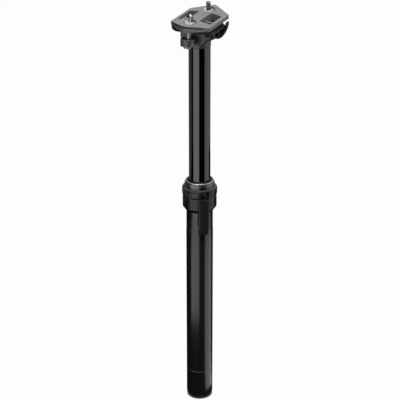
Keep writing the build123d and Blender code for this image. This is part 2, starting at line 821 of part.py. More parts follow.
# Foot rocker: the strip lifts its tip, and its heel pushes the valve pin up
with BuildPart() as foot_rocker:
    with BuildSketch(rocker_plane):
        Circle(rocker_eye_radius)
        with BuildLine():
            Polyline(
                (0, rocker_root_half_height),
                (rocker_length, rocker_tip_half_height),
                (rocker_length, -rocker_tip_half_height),
                (0, -rocker_root_half_height),
                close=True,
            )
        make_face()
        with Locations((rocker_pivot_depth, rocker_heel_rise)):
            Circle(rocker_heel_radius)
        Circle(rocker_pin_radius + running_gap, mode=Mode.SUBTRACT)
    extrude(amount=rocker_half_width, both=True)
foot_rocker.part.label = "foot_rocker"
export_step(foot_rocker.part, "parts/foot_rocker.step")

# The rocker's pin ends just under the foot's surface, also at its outermost side
pin_outer_depth = rocker_pivot_depth + rocker_pin_radius
with BuildPart() as rocker_pin:
    pin_half_length = sqrt(tube_radius**2 - pin_outer_depth**2) - edge_break
    with BuildSketch(Plane.YZ):
        with Locations((rocker_pivot_depth, rocker_pivot_height)):
            Circle(rocker_pin_radius)
    extrude(amount=pin_half_length, both=True)
rocker_pin.part.label = "rocker_pin"
export_step(rocker_pin.part, "parts/rocker_pin.step")

# Valve pin: its foot stands just above the rocker's heel
heel_top = rocker_pivot_height + rocker_heel_rise + rocker_heel_radius
heel_top = heel_top - rocker_pivot_depth * sin(rocker_half_swing)
pin_bottom = heel_top + free_gap
with BuildPart() as valve_pin:
    with BuildSketch(Plane.XY.offset(pin_bottom)):
        Circle(pin_foot_radius)
    extrude(amount=pin_foot_thickness)
    with BuildSketch(Plane.XY.offset(pin_bottom)):
        Circle(valve_pin_radius)
    extrude(amount=piston_top - pin_foot_thickness - pin_bottom)
valve_pin.part.label = "valve_pin"
export_step(valve_pin.part, "parts/valve_pin.step")


def biarc(start, start_way, end, end_way):
    """Two arcs, each by three points, that join start to end along the given directions."""
    span = end - start
    ways = start_way + end_way
    square = ways.dot(ways) - 4
    cross_term = span.dot(ways)
    reach = (cross_term - sqrt(cross_term**2 - square * span.dot(span))) / square
    first_corner = start + start_way * reach
    last_corner = end - end_way * reach
    joint = (first_corner + last_corner) / 2

    def middle(first, corner, last):
        chord_middle = (first + last) / 2
        half_chord = (last - first).length / 2
        rise = corner - chord_middle
        half_turn = atan2(rise.length, half_chord)
        return chord_middle + rise.normalized() * half_chord * tan(half_turn / 2)

    return (
        (start, middle(start, first_corner, joint), joint),
        (joint, middle(joint, last_corner, end), end),
    )


# Valve spring: one wire, wound round the valve pin inside the rod's root
spring_bottom = pin_bottom + pin_foot_thickness + spring_wire / 2 + seat_gap
spring_top = rod_bottom + spring_seat_depth - spring_wire / 2 - seat_gap
spring_rise = (spring_top - spring_bottom) / spring_turns
quarter_count = 4 * spring_turns


def on_coil(quarter):
    """Point and direction of the wire after a number of quarter turns."""
    turn = radians(90 * quarter)
    point = Vector(
        spring_mean_radius * cos(turn),
        spring_mean_radius * sin(turn),
        spring_bottom + spring_rise * quarter / 4,
    )
    way = Vector(-sin(turn), cos(turn), spring_rise / radians(360) / spring_mean_radius)
    return point, way.normalized()


with BuildPart() as valve_spring:
    with BuildLine() as coil_line:
        for quarter in range(quarter_count):
            for arc_start, arc_middle, arc_end in biarc(*on_coil(quarter), *on_coil(quarter + 1)):
                ThreePointArc(arc_start, arc_middle, arc_end)
    with BuildSketch(Plane(origin=coil_line.line @ 0, z_dir=coil_line.line % 0)):
        Circle(spring_wire / 2)
    sweep()
valve_spring.part.label = "valve_spring"
export_step(valve_spring.part, "parts/valve_spring.step")
print("least gap between the spring's turns", round(spring_rise - spring_wire, 3))

# Release strip: runs down between the tubes, from the crank to the rocker
strip_head_bottom = crank_z - strip_head_height / 2
strip_head_top = crank_z + strip_head_height / 2
hook_top = rocker_pivot_height - hook_arm * sin(rocker_half_swing)
hook_top = hook_top - rocker_tip_half_height - 2 * free_gap
with BuildPart() as release_strip:
    with BuildSketch(front_facing(strip_offset)):
        with BuildLine():
            Polyline(
                (-strip_half_width, hook_top - hook_thickness),
                (strip_half_width, hook_top - hook_thickness),
                (strip_half_width, strip_head_top),
                (crank_x - crank_web_radius, strip_head_top),
                (crank_x - crank_web_radius, strip_head_bottom),
                (-strip_half_width, strip_head_bottom),
                close=True,
            )
        make_face()
        with Locations((crank_x, crank_z)):
            SlotOverall(
                2 * (crank_pin_radius + free_gap),
                2 * (crank_pin_radius + 2 * running_gap),
                mode=Mode.SUBTRACT,
            )
    extrude(amount=strip_thickness)
    with BuildSketch(front_facing(strip_offset)):
        with Locations((0, hook_top - hook_thickness / 2)):
            Rectangle(2 * strip_half_width, hook_thickness)
    extrude(amount=-hook_reach)
release_strip.part.label = "release_strip"
export_step(release_strip.part, "parts/release_strip.step")

# Lever spindle: goes through the collar's wall, with the crank on its inner end
with BuildPart() as lever_spindle:
    with BuildSketch(front_facing(crank_outer - crank_web_thickness)):
        with Locations((0, pivot_height)):
            Circle(spindle_radius)
        with Locations((crank_x, crank_z)):
            Circle(crank_web_radius)
        make_hull()
    extrude(amount=crank_web_thickness)
    with BuildSketch(front_facing(crank_outer)):
        with Locations((0, pivot_height)):
            Circle(spindle_radius)
    extrude(amount=lever_outer_radius - seat_gap - crank_outer)
    with BuildSketch(front_facing(strip_offset + seat_gap)):
        with Locations((crank_x, crank_z)):
            Circle(crank_pin_radius)
    extrude(amount=crank_outer - strip_offset - seat_gap)
lever_spindle.part.label = "lever_spindle"
export_step(lever_spindle.part, "parts/lever_spindle.step")

# Lever: a curved arm in the recess, from the spindle to the cable's barrel
arm_reach = cable_circle * sin(guide_turn)
lever_end_x = arm_reach * cos(radians(lever_swing / 2))
lever_end_z = pivot_height + arm_reach * sin(radians(lever_swing / 2))
with BuildPart() as release_lever:
    with BuildSketch(Plane.XY.offset(recess_bottom)):
        Circle(lever_outer_radius)
        Circle(lever_inner_radius, mode=Mode.SUBTRACT)
    extrude(amount=band_top - recess_bottom)
    with BuildSketch(front_facing(0)):
        with Locations((0, pivot_height)):
            Circle(lever_eye_radius)
        with Locations((lever_end_x, lever_end_z)):
            Circle(lever_end_radius)
        make_hull()
    extrude(amount=lever_outer_radius + cut_overrun, mode=Mode.INTERSECT)
    with BuildSketch(front_facing(0)):
        with Locations((0, pivot_height)):
            Circle(spindle_radius + seat_gap)
    extrude(amount=lever_outer_radius + cut_overrun, mode=Mode.SUBTRACT)
    with BuildSketch(guide_plane):
        with Locations((0, lever_end_z)):
            Circle(barrel_radius + seat_gap)
    extrude(amount=lever_outer_radius + cut_overrun, mode=Mode.SUBTRACT)
release_lever.part.label = "release_lever"
export_step(release_lever.part, "parts/release_lever.step")

with BuildPart() as pivot_screw:
    with BuildSketch(front_facing(lever_outer_radius)):
        with Locations((0, pivot_height)):
            Circle(pivot_screw_radius)
    extrude(amount=pivot_screw_height)
    chamfer(pivot_screw.edges().group_by(Axis.Y)[0], edge_break / 2)
    with BuildSketch(front_facing(lever_outer_radius + pivot_screw_height)):
        with Locations((0, pivot_height)):
            RegularPolygon(pivot_screw_key_radius, side_count=6)
    extrude(amount=-pivot_screw_height / 2, mode=Mode.SUBTRACT)
pivot_screw.part.label = "pivot_screw"
export_step(pivot_screw.part, "parts/pivot_screw.step")

# Cable barrel in the lever's end, and the grub screw that grips the cable
with BuildPart() as cable_barrel:
    with BuildSketch(guide_plane.offset(lever_inner_radius)):
        with Locations((0, lever_end_z)):
            Circle(barrel_radius)
            Circle(grub_radius + seat_gap, mode=Mode.SUBTRACT)
    extrude(amount=lever_outer_radius - lever_inner_radius + barrel_proud)
cable_barrel.part.label = "cable_barrel"
export_step(cable_barrel.part, "parts/cable_barrel.step")

with BuildPart() as barrel_screw:
    with BuildSketch(guide_plane.offset(lever_inner_radius)):
        with Locations((0, lever_end_z)):
            Circle(grub_radius)
    extrude(amount=lever_outer_radius - lever_inner_radius)
barrel_screw.part.label = "barrel_screw"
export_step(barrel_screw.part, "parts/barrel_screw.step")

# Clamp planes about the tilt axis, which lies across the post; the rear is tipped up
clamp_tilt = radians(rest_tilt)
clamp_origin = (0, 0, tilt_axis_height)
rearward = (0, cos(clamp_tilt), sin(clamp_tilt))
clamp_plane = Plane(
    origin=clamp_origin, x_dir=(1, 0, 0), z_dir=(0, -sin(clamp_tilt), cos(clamp_tilt))
)
clamp_upward = Axis(origin=clamp_origin, direction=(0, -sin(clamp_tilt), cos(clamp_tilt)))
clamp_side = Plane(origin=clamp_origin, x_dir=rearward, z_dir=(1, 0, 0))
clamp_front = Plane(
    origin=clamp_origin, x_dir=(1, 0, 0), z_dir=(0, -cos(clamp_tilt), -sin(clamp_tilt))
)


def bolt_line(side):
    """Swivel point of a clamp bolt, its direction and the distance to its nut."""
    foot = Vector(0, side * washer_reach, washer_height)
    nut_centre = clamp_plane.from_local_coords(Vector(0, side * nut_reach, -nut_drop))
    run = nut_centre - foot
    return foot, run.normalized(), run.length


def bolt_plane(side):
    """Plane at a bolt's swivel point, square to the bolt."""
    foot, way, _ = bolt_line(side)
    return Plane(origin=foot, x_dir=(1, 0, 0), z_dir=way)


def nut_plane(side):
    """Plane at a barrel nut's centre, square to its bolt."""
    _, _, distance = bolt_line(side)
    return bolt_plane(side).offset(distance)


def bolt_angle(side, swing):
    """Angle between a bolt and the clamp's normal after the clamp has swung, rearward positive."""
    nut_local = Vector(0, side * nut_reach, -nut_drop)
    turned = nut_local.rotate(Axis.X, swing)
    nut_centre = clamp_plane.from_local_coords(turned)
    run = nut_centre - Vector(0, side * washer_reach, washer_height)
    return atan2(run.Y, run.Z) + radians(rest_tilt + swing)


# Head: spigot, neck, two ears for the bolts and the curved seat of the cradle
seat_radius = cradle_radius + running_gap
with BuildPart() as cradle_seat:
    with BuildSketch(Plane.YZ):
        with Locations((0, (ear_bottom + tilt_axis_height) / 2)):
            Rectangle(2 * saddle_half_length, tilt_axis_height - ear_bottom)
        with Locations((0, tilt_axis_height)):
            Circle(seat_radius, mode=Mode.SUBTRACT)
            Rectangle(
                2 * (saddle_half_length + cut_overrun),
                2 * sqrt(seat_radius**2 - saddle_half_length**2),
                mode=Mode.SUBTRACT,
            )
    extrude(amount=saddle_half_width, both=True)
    with BuildSketch(Plane.XZ):
        with BuildLine():
            Polyline(
                (-saddle_foot_half_width, ear_bottom),
                (saddle_foot_half_width, ear_bottom),
                (saddle_half_width, ear_bottom + saddle_flare_height),
                (saddle_half_width, tilt_axis_height),
                (-saddle_half_width, tilt_axis_height),
                (-saddle_half_width, ear_bottom + saddle_flare_height),
                close=True,
            )
        make_face()
    extrude(amount=saddle_half_length, both=True, mode=Mode.INTERSECT)

with BuildPart() as head_ears:
    with BuildSketch(Plane.XY.offset(ear_bottom)):
        Rectangle(ear_web, 2 * ear_reach)
        for side in (-1, 1):
            with Locations((0, side * ear_reach)):
                Circle(ear_radius)
    extrude(amount=ear_height)
    chamfer(head_ears.edges().group_by(Axis.Z)[-1], edge_break)

with BuildPart() as head:
    with BuildSketch(Plane.XY.offset(neck_bottom)):
        Circle(neck_radius)
    extrude(amount=tilt_axis_height - seat_radius - neck_bottom)
    chamfer(head.edges().group_by(Axis.Z)[0], edge_break)
    with BuildSketch(Plane.XY.offset(neck_bottom - neck_spigot_length)):
        Circle(stanchion_bore - seat_gap)
    extrude(amount=neck_spigot_length)
    add(head_ears.part)
    add(cradle_seat.part)
    with BuildSketch(Plane.YZ):
        with Locations((0, tilt_axis_height)):
            Circle(seat_radius)
    extrude(amount=saddle_half_width + cut_overrun, both=True, mode=Mode.SUBTRACT)
    with BuildSketch(Plane.XY.offset(neck_bottom - neck_spigot_length)):
        Circle(neck_cavity_radius)
    extrude(amount=neck_spigot_length + neck_cavity_height, mode=Mode.SUBTRACT)
    # Curved seats for the half-round washers, and slots in which the bolts can swing
    for side in (-1, 1):
        _, bolt_way, _ = bolt_line(side)
        with BuildSketch(Plane.YZ):
            with Locations((side * washer_reach, washer_height)):
                Circle(washer_radius + running_gap)
        extrude(amount=ear_radius + cut_overrun, both=True, mode=Mode.SUBTRACT)
        slot_height = ear_bottom + ear_height - washer_height
        slot_centre = side * washer_reach + bolt_way.Y / bolt_way.Z * slot_height * 3 / 4
        with BuildSketch(Plane.XY.offset(ear_bottom)):
            with Locations((0, slot_centre)):
                SlotOverall(
                    2 * bolt_radius + ear_height * tan(radians(tilt_swing)) + 4 * free_gap,
                    2 * (bolt_radius + free_gap),
                    rotation=90,
                )
        extrude(amount=ear_height, mode=Mode.SUBTRACT)
head.part.label = "head"
export_step(head.part, "parts/head.step")

# Lower cradle: a D-shaped block that rocks in the head's seat and carries the rails
trough_radius = rail_radius + rail_grip_gap
pocket_top = rail_drop + trough_radius + cradle_pocket_roof
pocket_radius = cradle_radius - cradle_rim
pocket_half_length = sqrt(pocket_radius**2 - pocket_top**2)
with BuildPart() as lower_cradle:
    with BuildSketch(clamp_side):
        Circle(cradle_radius)
        with Locations((0, -cradle_wall_drop - cradle_radius)):
            Rectangle(2 * cradle_half_length, 2 * cradle_radius, mode=Mode.INTERSECT)
    extrude(amount=cradle_half_width, both=True)
    # Rail troughs, open upward between a low deck and an outer wall
    with BuildSketch(clamp_front):
        for side in (-1, 1):
            with Locations((side * rail_spacing / 2, -rail_drop)):
                Circle(trough_radius)
            with Locations((side * rail_spacing / 2, -rail_drop / 2)):
                Rectangle(2 * trough_radius, rail_drop)
        with Locations((0, -cradle_deck_drop / 2)):
            Rectangle(rail_spacing - 2 * trough_radius, cradle_deck_drop)
    extrude(amount=cradle_radius, both=True, mode=Mode.SUBTRACT)
    # Lightening pockets in both flanks, parted by a rib
    for side in (-1, 1):
        with BuildSketch(clamp_side.offset(side * cradle_half_width)):
            Circle(pocket_radius)
            with Locations((0, -pocket_top - pocket_radius)):
                Rectangle(2 * pocket_half_length, 2 * pocket_radius, mode=Mode.INTERSECT)
            Rectangle(cradle_rib, 2 * cradle_radius, mode=Mode.SUBTRACT)
        extrude(amount=-side * cradle_pocket_depth, mode=Mode.SUBTRACT)
        with BuildSketch(clamp_side.offset(side * cradle_half_width)):
            with Locations((0, -(pocket_top + pocket_radius) / 2)):
                Rectangle(cradle_rib + 2 * seat_gap, pocket_radius - pocket_top - 2 * seat_gap)
        extrude(amount=-side * cradle_rib_setback, mode=Mode.SUBTRACT)
        # Opening in the outer wall, from the pocket up
        with BuildSketch(clamp_side.offset(side * cradle_half_width)):
            with Locations((0, -(pocket_top + seat_gap) / 2)):
                Rectangle(2 * cradle_opening_half_length, pocket_top + seat_gap)
        extrude(amount=-side * cradle_opening_depth, mode=Mode.SUBTRACT)
    # Notches that the bolts swing into
    with BuildSketch(clamp_plane.offset(-cradle_deck_drop)):
        for side in (-1, 1):
            with Locations((0, side * (bolt_notch_reach + cradle_half_length) / 2)):
                Rectangle(2 * bolt_notch_half_width, cradle_half_length - bolt_notch_reach)
    extrude(amount=-cradle_radius, mode=Mode.SUBTRACT)
lower_cradle.part.label = "lower_cradle"
export_step(lower_cradle.part, "parts/lower_cradle.step")


def plate_outline(side_inset, end_inset):
    """The clamp's outline seen from above, a long hexagon with blunt noses."""
    half_width = plate_half_width - side_inset
    half_length = plate_half_length - end_inset
    nose = plate_nose_reach - end_inset
    corners = []
    for across, along in ((1, 1), (1, -1), (-1, -1), (-1, 1)):
        shoulder = (across * half_width, along * half_length)
        tip = (across * plate_nose_half_width, along * nose)
        corners += [tip, shoulder] if across == along else [shoulder, tip]
    return corners


# Groove under the clamp's lip, along its four slanted edges
groove_top = plate_rise - plate_lip
groove_end_drop = plate_crown * plate_groove_reach / plate_half_width
with BuildPart() as lip_groove:
    with BuildSketch(clamp_plane.offset(-clamp_depth)):
        Rectangle(2 * plate_groove_reach, 2 * (plate_nose_reach + cut_overrun))
        with BuildLine():
            Polyline(*plate_outline(0, plate_groove_depth), close=True)
        make_face(mode=Mode.SUBTRACT)
        Rectangle(2 * plate_groove_reach, 2 * window_half_length, mode=Mode.SUBTRACT)
    extrude(amount=clamp_depth + plate_rise)
    with BuildSketch(clamp_front):
        with BuildLine():
            Polyline(
                (0, groove_top),
                (plate_groove_reach, groove_top - groove_end_drop),
                (plate_groove_reach, groove_top - groove_end_drop - plate_groove_height),
                (0, groove_top - plate_groove_height),
                (-plate_groove_reach, groove_top - groove_end_drop - plate_groove_height),
                (-plate_groove_reach, groove_top - groove_end_drop),
                close=True,
            )
        make_face()
    extrude(amount=plate_nose_reach + 2 * cut_overrun, both=True, mode=Mode.INTERSECT)

# Upper clamp: a crowned plate on a narrower underside
with BuildPart() as upper_clamp:
    with BuildSketch(clamp_plane.offset(-clamp_depth)):
        with BuildLine():
            Polyline(*plate_outline(clamp_side_step, clamp_end_step), close=True)
        make_face()
    extrude(amount=clamp_depth)
    with BuildSketch(clamp_plane.offset(-plate_flange_drop)):
        with BuildLine():
            Polyline(*plate_outline(0, 0), close=True)
        make_face()
    extrude(amount=plate_flange_drop + plate_rise)
    outer_corners = upper_clamp.edges().filter_by(clamp_upward).group_by(SortBy.LENGTH)[-1]
    fillet(outer_corners, plate_corner)
    add(lip_groove.part, mode=Mode.SUBTRACT)
    # Crown: both sides fall away from the ridge
    with BuildSketch(clamp_front):
        for side in (-1, 1):
            with BuildLine():
                Polyline(
                    (0, plate_rise),
                    (side * plate_half_width, plate_rise - plate_crown),
                    (side * (plate_half_width + cut_overrun), plate_rise - plate_crown),
                    (side * (plate_half_width + cut_overrun), plate_rise + cut_overrun),
                    (0, plate_rise + cut_overrun),
                    close=True,
                )
            make_face()
    extrude(amount=plate_nose_reach, both=True, mode=Mode.SUBTRACT)
    # Windows through the plate, each crossed by a low rib
    window_width = window_outer - window_inner
    with BuildSketch(clamp_plane.offset(-clamp_depth)):
        for side in (-1, 1):
            with Locations((side * (window_inner + window_outer) / 2, 0)):
                RectangleRounded(window_width, 2 * window_half_length, window_corner)
    extrude(amount=clamp_depth + plate_rise, mode=Mode.SUBTRACT)
    with BuildSketch(clamp_plane.offset(-clamp_depth)):
        Rectangle(2 * (window_outer + edge_break), window_rib)
    extrude(amount=window_rib_height)
    # Grooves over the rails
    with BuildSketch(clamp_front):
        for side in (-1, 1):
            with Locations((side * rail_spacing / 2, -rail_drop)):
                Circle(rail_radius + rail_grip_gap)
    extrude(amount=plate_nose_reach, both=True, mode=Mode.SUBTRACT)
    # Round wells with troughs for the barrel nuts, and the slots that the bolts pass
    with BuildSketch(clamp_plane.offset(-nut_drop)):
        for side in (-1, 1):
            with Locations((0, side * nut_reach)):
                Circle(nut_well_radius)
    extrude(amount=nut_drop + plate_rise, mode=Mode.SUBTRACT)
    for side in (-1, 1):
        with BuildSketch(clamp_side):
            with Locations((side * nut_reach, -nut_drop)):
                Circle(nut_radius + running_gap)
            with Locations((side * nut_reach, (plate_rise + cut_overrun - nut_drop) / 2)):
                Rectangle(2 * (nut_radius + running_gap), plate_rise + cut_overrun + nut_drop)
        extrude(amount=nut_half_length + nut_end_gap, both=True, mode=Mode.SUBTRACT)
        slot_depth = clamp_depth - nut_drop
        near, far = sorted(bolt_angle(side, swing) for swing in (-tilt_swing, tilt_swing))
        slot_front = side * nut_reach - slot_depth * tan(far) - bolt_radius / cos(far) - free_gap
        slot_rear = side * nut_reach - slot_depth * tan(near) + bolt_radius / cos(near) + free_gap
        with BuildSketch(clamp_plane.offset(-clamp_depth)):
            with Locations((0, (slot_front + slot_rear) / 2)):
                SlotOverall(slot_rear - slot_front, 2 * clamp_slot_half_width, rotation=90)
        extrude(amount=slot_depth, mode=Mode.SUBTRACT)
upper_clamp.part.label = "upper_clamp"
export_step(upper_clamp.part, "parts/upper_clamp.step")


def clamp_bolt(side, proud):
    """Socket-head bolt from below the ear up through the barrel nut."""
    _, _, distance = bolt_line(side)
    with BuildPart() as bolt:
        with BuildSketch(bolt_plane(side).offset(-washer_flat - bolt_head_height)):
            Circle(bolt_head_radius)
        extrude(amount=bolt_head_height)
        chamfer(bolt.edges().sort_by(SortBy.LENGTH)[-2:].sort_by(Axis.Z)[0], edge_break)
        with BuildSketch(bolt_plane(side).offset(-washer_flat)):
            Circle(bolt_radius)
        extrude(amount=washer_flat + distance + proud)
        chamfer(bolt.faces().sort_by(Axis.Z)[-1].edges(), bolt_tip_chamfer)
        with BuildSketch(bolt_plane(side).offset(-washer_flat - bolt_head_height)):
            RegularPolygon(bolt_key_radius, side_count=6)
        extrude(amount=bolt_key_depth, mode=Mode.SUBTRACT)
    return bolt.part


def bolt_washer(side):
    """Half-round washer: its curved back turns in the ear's seat as the bolt swings."""
    with BuildPart() as washer:
        with BuildSketch(Plane(origin=bolt_plane(side).origin, x_dir=bolt_plane(side).y_dir, z_dir=(1, 0, 0))):
            Circle(washer_radius)
            with Locations((0, (washer_radius - washer_flat) / 2)):
                Rectangle(2 * washer_radius, washer_radius + washer_flat, mode=Mode.INTERSECT)
        extrude(amount=washer_half_length, both=True)
        with BuildSketch(bolt_plane(side).offset(-washer_flat)):
            Circle(bolt_radius + washer_bore_gap)
        extrude(amount=washer_flat + washer_radius, mode=Mode.SUBTRACT)
    return washer.part


def barrel_nut(side):
    """Round cross nut that the bolt is screwed through."""
    nut_centre = nut_plane(side)
    with BuildPart() as nut:
        with BuildSketch(Plane(origin=nut_centre.origin, x_dir=nut_centre.y_dir, z_dir=(1, 0, 0))):
            Circle(nut_radius)
        extrude(amount=nut_half_length, both=True)
        with BuildSketch(nut_centre.offset(-nut_radius)):
            Circle(nut_half_length)
        extrude(amount=2 * nut_radius, mode=Mode.INTERSECT)
        with BuildSketch(nut_centre.offset(-nut_radius)):
            Circle(bolt_radius + nut_bore_gap)
        extrude(amount=2 * nut_radius, mode=Mode.SUBTRACT)
    return nut.part


front_bolt = clamp_bolt(-1, front_bolt_proud)
front_bolt.label = "front_bolt"
export_step(front_bolt, "parts/front_bolt.step")
rear_bolt = clamp_bolt(1, rear_bolt_proud)
rear_bolt.label = "rear_bolt"
export_step(rear_bolt, "parts/rear_bolt.step")
front_washer = bolt_washer(-1)
front_washer.label = "front_washer"
export_step(front_washer, "parts/front_washer.step")
rear_washer = bolt_washer(1)
rear_washer.label = "rear_washer"
export_step(rear_washer, "parts/rear_washer.step")
front_nut = barrel_nut(-1)
front_nut.label = "front_nut"
export_step(front_nut, "parts/front_nut.step")
rear_nut = barrel_nut(1)
rear_nut.label = "rear_nut"
export_step(rear_nut, "parts/rear_nut.step")

# What the record needs: couplings and joint places
print("crank lift", round(crank_lift, 4), "rocker swing", round(degrees(2 * rocker_half_swing), 4))
print("hook arm", hook_arm, "pin lift", round(2 * rocker_pivot_depth * sin(rocker_half_swing), 4))
print("floating rise", round(floating_rise, 3))
for side in (-1, 1):
    foot, way, distance = bolt_line(side)
    print("bolt", side, foot, way, round(distance, 3), "nut", nut_plane(side).origin)
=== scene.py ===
# %% [markdown]
# # A dropper seatpost
# The post stands upright on a pale studio floor. It is black on black: a gloss
# stanchion, a satin tube and a matt head, so nearly all that the eye reads of it are
# reflections. The CAD model brings the main shapes, and this file brings the finishes,
# the screw threads, the rounding of the edges and the light.

import json
from math import cos, pi, radians, sin

import bpy
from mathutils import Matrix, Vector


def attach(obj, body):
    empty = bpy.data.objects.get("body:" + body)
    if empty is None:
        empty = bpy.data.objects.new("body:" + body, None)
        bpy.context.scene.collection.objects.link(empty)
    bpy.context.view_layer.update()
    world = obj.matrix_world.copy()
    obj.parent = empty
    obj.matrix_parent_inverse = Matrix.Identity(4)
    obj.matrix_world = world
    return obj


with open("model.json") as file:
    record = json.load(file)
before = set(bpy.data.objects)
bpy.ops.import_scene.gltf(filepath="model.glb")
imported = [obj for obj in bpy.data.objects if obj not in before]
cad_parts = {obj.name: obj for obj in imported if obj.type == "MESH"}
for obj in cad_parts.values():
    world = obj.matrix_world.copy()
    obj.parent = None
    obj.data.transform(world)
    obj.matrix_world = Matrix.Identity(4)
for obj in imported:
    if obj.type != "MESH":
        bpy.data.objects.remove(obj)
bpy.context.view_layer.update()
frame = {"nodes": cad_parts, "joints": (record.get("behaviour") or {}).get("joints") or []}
nodes = frame["nodes"]

# %% [markdown]
# ## The camera
# The rings of the collar show how steeply the camera looks down, and the tubes taper a
# little toward the foot, which gives its distance. A long lens stands a good metre and
# a half away, in front of the rider's left side.

# %% Camera
VIEW_AZIMUTH = radians(33.0)
VIEW_ELEVATION = radians(23.7)
VIEW_DISTANCE = 1.586
AIM = Vector((0.0, 0.0, 0.2622))
LENS_MM = 122.04
SENSOR_MM = 36.0
PICTURE_WIDTH = 400
AXIS_COLUMN = 199.63
FARTHEST_SEEN = 20.0


def toward(azimuth, elevation):
    """Direction from the post toward a place round it; azimuth 0 is its front."""
    return Vector((sin(azimuth) * cos(elevation), -cos(azimuth) * cos(elevation), sin(elevation)))


camera = bpy.data.objects.new("camera", bpy.data.cameras.new("camera"))
camera.data.lens = LENS_MM
camera.data.sensor_width = SENSOR_MM
camera.data.shift_x = (PICTURE_WIDTH / 2 - AXIS_COLUMN) / PICTURE_WIDTH
camera.location = AIM + toward(VIEW_AZIMUTH, VIEW_ELEVATION) * VIEW_DISTANCE
camera.rotation_euler = (AIM - camera.location).to_track_quat("-Z", "Y").to_euler()
camera.data.clip_end = FARTHEST_SEEN
bpy.context.collection.objects.link(camera)
bpy.context.scene.camera = camera
print("camera at", [round(value, 3) for value in camera.location])

# %% [markdown]
# ## Writing materials as sums
# A material is a graph of nodes. Written out, each sum takes four lines, so one small
# class wraps a socket and lets Python's own operators add the Math nodes. Colours and
# vectors have their own nodes, because a Math node turns a colour grey.

# %% Sockets that can be added and multiplied


class Value:
    """A socket that carries a number, with Python's operators."""

    def __init__(self, maker, socket):
        self.maker = maker
        self.socket = socket

    def _sum(self, operation, first, second=0.0):
        made = self.maker.node("ShaderNodeMath", {"operation": operation}, {0: first, 1: second})
        return made["Value"]

    def __add__(self, other):
        return self._sum("ADD", self, other)

    def __radd__(self, other):
        return self._sum("ADD", other, self)

    def __sub__(self, other):
        return self._sum("SUBTRACT", self, other)

    def __rsub__(self, other):
        return self._sum("SUBTRACT", other, self)

    def __mul__(self, other):
        return self._sum("MULTIPLY", self, other)

    def __rmul__(self, other):
        return self._sum("MULTIPLY", other, self)

    def clamped(self):
        """The same number, kept between 0 and 1."""
        made = self.maker.node(
            "ShaderNodeMath", {"operation": "ADD", "use_clamp": True}, {0: self, 1: 0.0}
        )
        return made["Value"]


class Graph:
    """A node graph, with one method that adds any node."""

    def __init__(self, tree):
        self.tree = tree

    def node(self, kind, settings=None, inputs=None):
        """Adds a node: its settings first, then its sockets, each a value or a link."""
        made = self.tree.nodes.new(kind)
        for name, value in (settings or {}).items():
            setattr(made, name, value)
        for socket, value in (inputs or {}).items():
            if isinstance(value, Value):
                self.join(value, made.inputs[socket])
            else:
                made.inputs[socket].default_value = value
        return {output.name: Value(self, output) for output in made.outputs if output.enabled}

    def join(self, value, socket):
        """Links a wrapped socket into another node's input."""
        self.tree.links.new(value.socket, socket)


print("a sum is written with", Value.__name__, "and any other node with", Graph.__name__)

# %% [markdown]
# ## One material
# A finish is a graph round one Principled shader. It offers the few patterns that the
# finishes below share: cloudy noise, a tint between two colours, rounded edges, worn
# edges and a bump. Widths and depths are in metres, noise scales in blotches per metre.

# %% Finish
BEVEL_SAMPLES = 6
ROUNDED_EDGE = 0.00025
EDGE_CONTRAST = 9.0


class Finish(Graph):
    """One material: its Principled shader, and the patterns that feed it."""

    def __init__(self, name, color, roughness, metallic=0.0, specular=0.5):
        self.material = bpy.data.materials.new(name)
        self.material.use_nodes = True
        super().__init__(self.material.node_tree)
        self.shader = next(n for n in self.tree.nodes if n.type == "BSDF_PRINCIPLED")
        settings = {
            "Base Color": (*color, 1.0),
            "Roughness": roughness,
            "Metallic": metallic,
            "Specular IOR Level": specular,
        }
        for socket, value in settings.items():
            self.shader.inputs[socket].default_value = value

    def feed(self, socket, value):
        """Links a number or colour into one of the shader's sockets."""
        self.join(value, self.shader.inputs[socket])

    def place(self, stretch=(1.0, 1.0, 1.0)):
        """The point on the object, in metres, with each axis multiplied by a stretch."""
        here = self.node("ShaderNodeTexCoord")["Object"]
        return self.node(
            "ShaderNodeVectorMath", {"operation": "MULTIPLY"}, {0: here, 1: stretch}
        )["Vector"]

    def noise(self, scale, detail=2.0, stretch=(1.0, 1.0, 1.0)):
        """Cloudy noise from 0 to 1; scale is in blotches per metre."""
        made = self.node(
            "ShaderNodeTexNoise", None,
            {"Vector": self.place(stretch), "Scale": scale, "Detail": detail},
        )
        return made.get("Fac") or made["Factor"]

    def tint(self, share, dark, light):
        """A colour between two others, by a share from 0 to 1."""
        made = self.node(
            "ShaderNodeMix", {"data_type": "RGBA"},
            {"Factor": share, "A": (*dark, 1.0), "B": (*light, 1.0)},
        )
        return made["Result"]

    def rounded(self, width):
        """The surface's direction with its edges rounded off over a width."""
        return self.node("ShaderNodeBevel", {"samples": BEVEL_SAMPLES}, {"Radius": width})["Normal"]

    def edges(self, width):
        """How worn an edge is, from 0 to 1: the bevelled normal differs from the true one."""
        round_normal = self.rounded(width)
        true_normal = self.node("ShaderNodeNewGeometry")["Normal"]
        along = self.node(
            "ShaderNodeVectorMath", {"operation": "DOT_PRODUCT"}, {0: round_normal, 1: true_normal}
        )["Value"]
        return ((1.0 - along) * EDGE_CONTRAST).clamped()

    def bump(self, height, distance):
        """Makes the surface rise by a height pattern; distance is its depth in metres."""
        made = self.node(
            "ShaderNodeBump", None,
            {
                "Height": height, "Distance": distance, "Strength": 1.0,
                "Normal": self.rounded(ROUNDED_EDGE),
            },
        )
        self.feed("Normal", made["Normal"])


print("each material is a", Finish.__name__)

